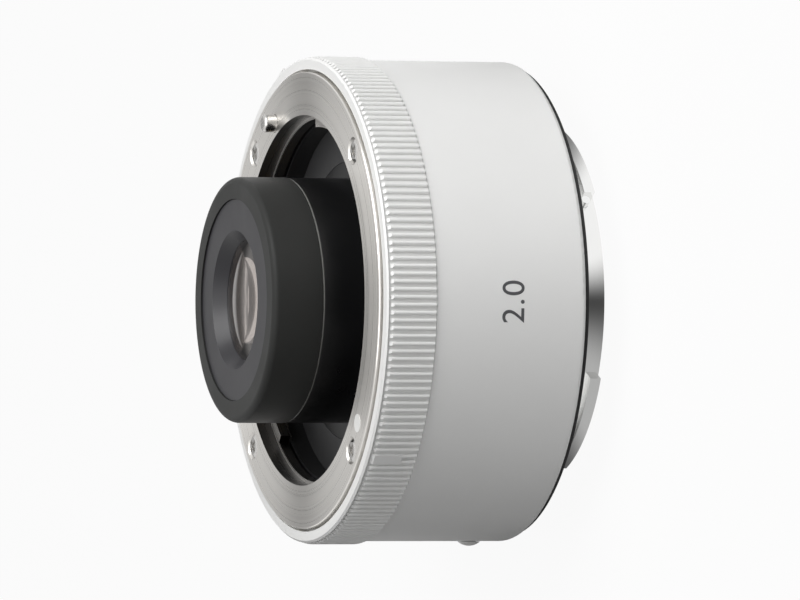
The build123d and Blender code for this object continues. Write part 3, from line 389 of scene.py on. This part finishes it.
inner_glass = clear_glass("inner_glass", (0.3, 0.29, 0.22), (0.34, 0.33, 0.26),
                          Specular_IOR_Level=0.06)
dress(inner_glass, *[f"glass_element_{number}" for number in range(2, LAST_GLASS + 1)])

# Marking: a plain number in grey paint, wrapped on the barrel and read upward in the photograph
MARK_TEXT = "2.0"
MARK_SPACING = 1.1
MARK_HEIGHT = 2.97 * MM
MARK_RISE = 14.57 * MM
MARK_PROUD = 0.01 * MM
MARK_STEP = 0.25 * MM


def flat_marking():
    """The number as a flat mesh, without a size of its own yet."""
    curve = bpy.data.curves.new("mark_curve", "FONT")
    curve.body = MARK_TEXT
    curve.align_x = "CENTER"
    curve.space_character = MARK_SPACING
    source = bpy.data.objects.new("mark_source", curve)
    mesh = bpy.data.meshes.new_from_object(source)
    bpy.data.objects.remove(source)
    return mesh


def wrap_marking(mesh):
    """Scales the flat number, cuts it into narrow strips and lays it round the barrel."""
    shape = bmesh.new()
    shape.from_mesh(mesh)
    heights = [vertex.co.y for vertex in shape.verts]
    scale = MARK_HEIGHT / (max(heights) - min(heights))
    bmesh.ops.scale(shape, vec=(scale, scale, 0), verts=shape.verts)
    low = min(vertex.co.x for vertex in shape.verts)
    high = max(vertex.co.x for vertex in shape.verts)
    for index in range(1, int((high - low) / MARK_STEP) + 1):
        bmesh.ops.bisect_plane(
            shape, geom=shape.verts[:] + shape.edges[:] + shape.faces[:],
            plane_co=(low + index * MARK_STEP, 0, 0), plane_no=(1, 0, 0))
    mark_radius = barrel_radius + MARK_PROUD
    for vertex in shape.verts:
        turn = vertex.co.x / mark_radius
        vertex.co = (mark_radius * sin(turn), -mark_radius * cos(turn), MARK_RISE + vertex.co.y)
    shape.to_mesh(mesh)
    shape.free()


mark_mesh = flat_marking()
wrap_marking(mark_mesh)
mark_grey = coated("mark_grey", (0.085, 0.085, 0.09), (0.07, 0.07, 0.075),
                   roughness=0.5, grain=0.1 * MM, depth=0.001 * MM)
mark_mesh.materials.clear()
mark_mesh.materials.append(mark_grey)
mark = bpy.data.objects.new("barrel_marking", mark_mesh)
bpy.context.scene.collection.objects.link(mark)
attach(mark, BODY)

# Lamps: a broad soft one from above and in front, and a weaker one between the lens side and the
# viewer, each with its direction and its watts
LAMP_DISTANCE = 700 * MM
LAMP_SIZE = 600 * MM
LAMPS = {
    "key_lamp": ((0.6, -0.35, 0.72), 4.75),
    "fill_lamp": ((0, -0.45, 0.9), 1.5),
}


def add_lamp(name, way, watts):
    """A round lamp that shines on the middle of the part from a direction."""
    lamp_way = Vector(way).normalized()
    lamp = bpy.data.objects.new(name, bpy.data.lights.new(name, "AREA"))
    lamp.data.energy = watts
    lamp.data.shape = "DISK"
    lamp.data.size = LAMP_SIZE
    lamp.location = Vector((0, 0, lens_flange / 2)) + LAMP_DISTANCE * lamp_way
    lamp.rotation_euler = lamp_way.to_track_quat("Z", "Y").to_euler()
    bpy.context.scene.collection.objects.link(lamp)


for lamp_name, (lamp_direction, lamp_watts) in LAMPS.items():
    add_lamp(lamp_name, lamp_direction, lamp_watts)

# Surround: how bright the white studio is to metal and glass, over the parts of a direction
AMBIENT = 0.05
BEHIND_VIEWER = Ramp(start=-1.0, end=-0.9, first=0.06, last=1.0)
OPPOSITE_VIEWER = Ramp(start=0.87, end=0.95, first=1.0, last=0.18)
HORIZON_HEIGHT = Ramp(start=0.19, end=0.29, first=1.0, last=0.0)
HORIZON_WIDTH = Ramp(start=0.14, end=0.24, first=1.0, last=0.0)


def camera_ray(tree):
    """One for rays straight from the camera."""
    return add_node(tree, "LightPath").outputs["Is Camera Ray"]


def reflected_ray(tree):
    """One for rays from metal and glass."""
    path = add_node(tree, "LightPath").outputs
    return calculate(tree, "MAXIMUM", path["Is Glossy Ray"], path["Is Transmission Ray"])


def studio_tone(tree, way):
    """Darker behind the viewer and straight opposite, where a white patch stays at the horizon."""
    parts = split(tree, way)
    behind_viewer = ramp(tree, parts["Y"], BEHIND_VIEWER)
    opposite_viewer = ramp(tree, parts["Y"], OPPOSITE_VIEWER)
    low = ramp(tree, parts["Z"], HORIZON_HEIGHT)
    middle = ramp(tree, absolute(tree, parts["X"]), HORIZON_WIDTH)
    far_side = calculate(tree, "GREATER_THAN", parts["Y"], 0.0)
    patch = calculate(tree, "MULTIPLY", calculate(tree, "MULTIPLY", low, middle), far_side)
    lit = calculate(tree, "MAXIMUM", opposite_viewer, patch)
    return calculate(tree, "MULTIPLY", behind_viewer, lit)


def light_surround():
    """Full white to the camera, the studio's tone to metal and glass, and a plain level elsewhere."""
    world = bpy.data.worlds.new("surround")
    world.use_nodes = True
    bpy.context.scene.world = world
    tree = world.node_tree
    way = add_node(tree, "TexCoord").outputs["Generated"]
    unseen = blend(tree, reflected_ray(tree), AMBIENT, studio_tone(tree, way))
    sky = tree.nodes["Background"]
    sky.inputs["Color"].default_value = WHITE
    feed(tree, sky.inputs["Strength"], blend(tree, camera_ray(tree), unseen, 1.0))


light_surround()

# Floor: white to the eye with a faint shadow. To metal and glass its tone changes round the axis:
# X is up in the photograph, and the viewer is at negative Y
FLOOR_SIZE = 4.0
FLOOR_GREY = (0.62, 0.62, 0.62, 1)
FLOOR_SHADOW = 0.06
LOWER_TONE = 0.47
VIEWER_TONE = 0.07
FAR_FLOOR = Ramp(start=-0.5, end=0.1, first=LOWER_TONE, last=1.0)
NEAR_UPPER = Ramp(start=0.0, end=0.32, first=VIEWER_TONE, last=1.0)
NEAR_LOWER = Ramp(start=-0.45, end=0.0, first=LOWER_TONE, last=VIEWER_TONE)
FLOOR_ENDS = Ramp(start=0.72, end=0.97, first=1.0, last=0.2)


def floor_tone(tree):
    """How bright the floor is to metal and glass."""
    position = add_node(tree, "NewGeometry").outputs["Position"]
    parts = split(tree, add_node(tree, "VectorMath", {0: position}, operation="NORMALIZE").outputs[0])
    far_tone = ramp(tree, parts["X"], FAR_FLOOR)
    near_tone = calculate(
        tree, "MAXIMUM", ramp(tree, parts["X"], NEAR_UPPER), ramp(tree, parts["X"], NEAR_LOWER))
    viewer_side = calculate(tree, "LESS_THAN", parts["Y"], 0.0)
    ends = ramp(tree, absolute(tree, parts["X"]), FLOOR_ENDS)
    return calculate(tree, "MULTIPLY", blend(tree, viewer_side, far_tone, near_tone), ends)


def floor_look():
    """A matte floor that glows for the camera, metal and glass, and so keeps little shadow."""
    made = bpy.data.materials.new("floor")
    made.use_nodes = True
    tree = made.node_tree
    tree.nodes.remove(tree.nodes["Principled BSDF"])
    matte = add_node(tree, "BsdfDiffuse", {"Color": FLOOR_GREY}).outputs[0]
    not_reflected = calculate(tree, "SUBTRACT", 1.0, reflected_ray(tree))
    strength = calculate(tree, "MAXIMUM", not_reflected, floor_tone(tree))
    glow = add_node(tree, "Emission", {"Color": WHITE, "Strength": strength}).outputs[0]
    seen_share = calculate(tree, "MULTIPLY", camera_ray(tree), 1 - FLOOR_SHADOW)
    glow_share = calculate(tree, "MAXIMUM", seen_share, reflected_ray(tree))
    mixed = add_node(tree, "MixShader", {0: glow_share, 1: matte, 2: glow}).outputs[0]
    feed(tree, tree.nodes["Material Output"].inputs["Surface"], mixed)
    return made


bpy.ops.mesh.primitive_plane_add(size=FLOOR_SIZE)
floor = bpy.context.object
floor.name = "floor"
floor.data.materials.append(floor_look())
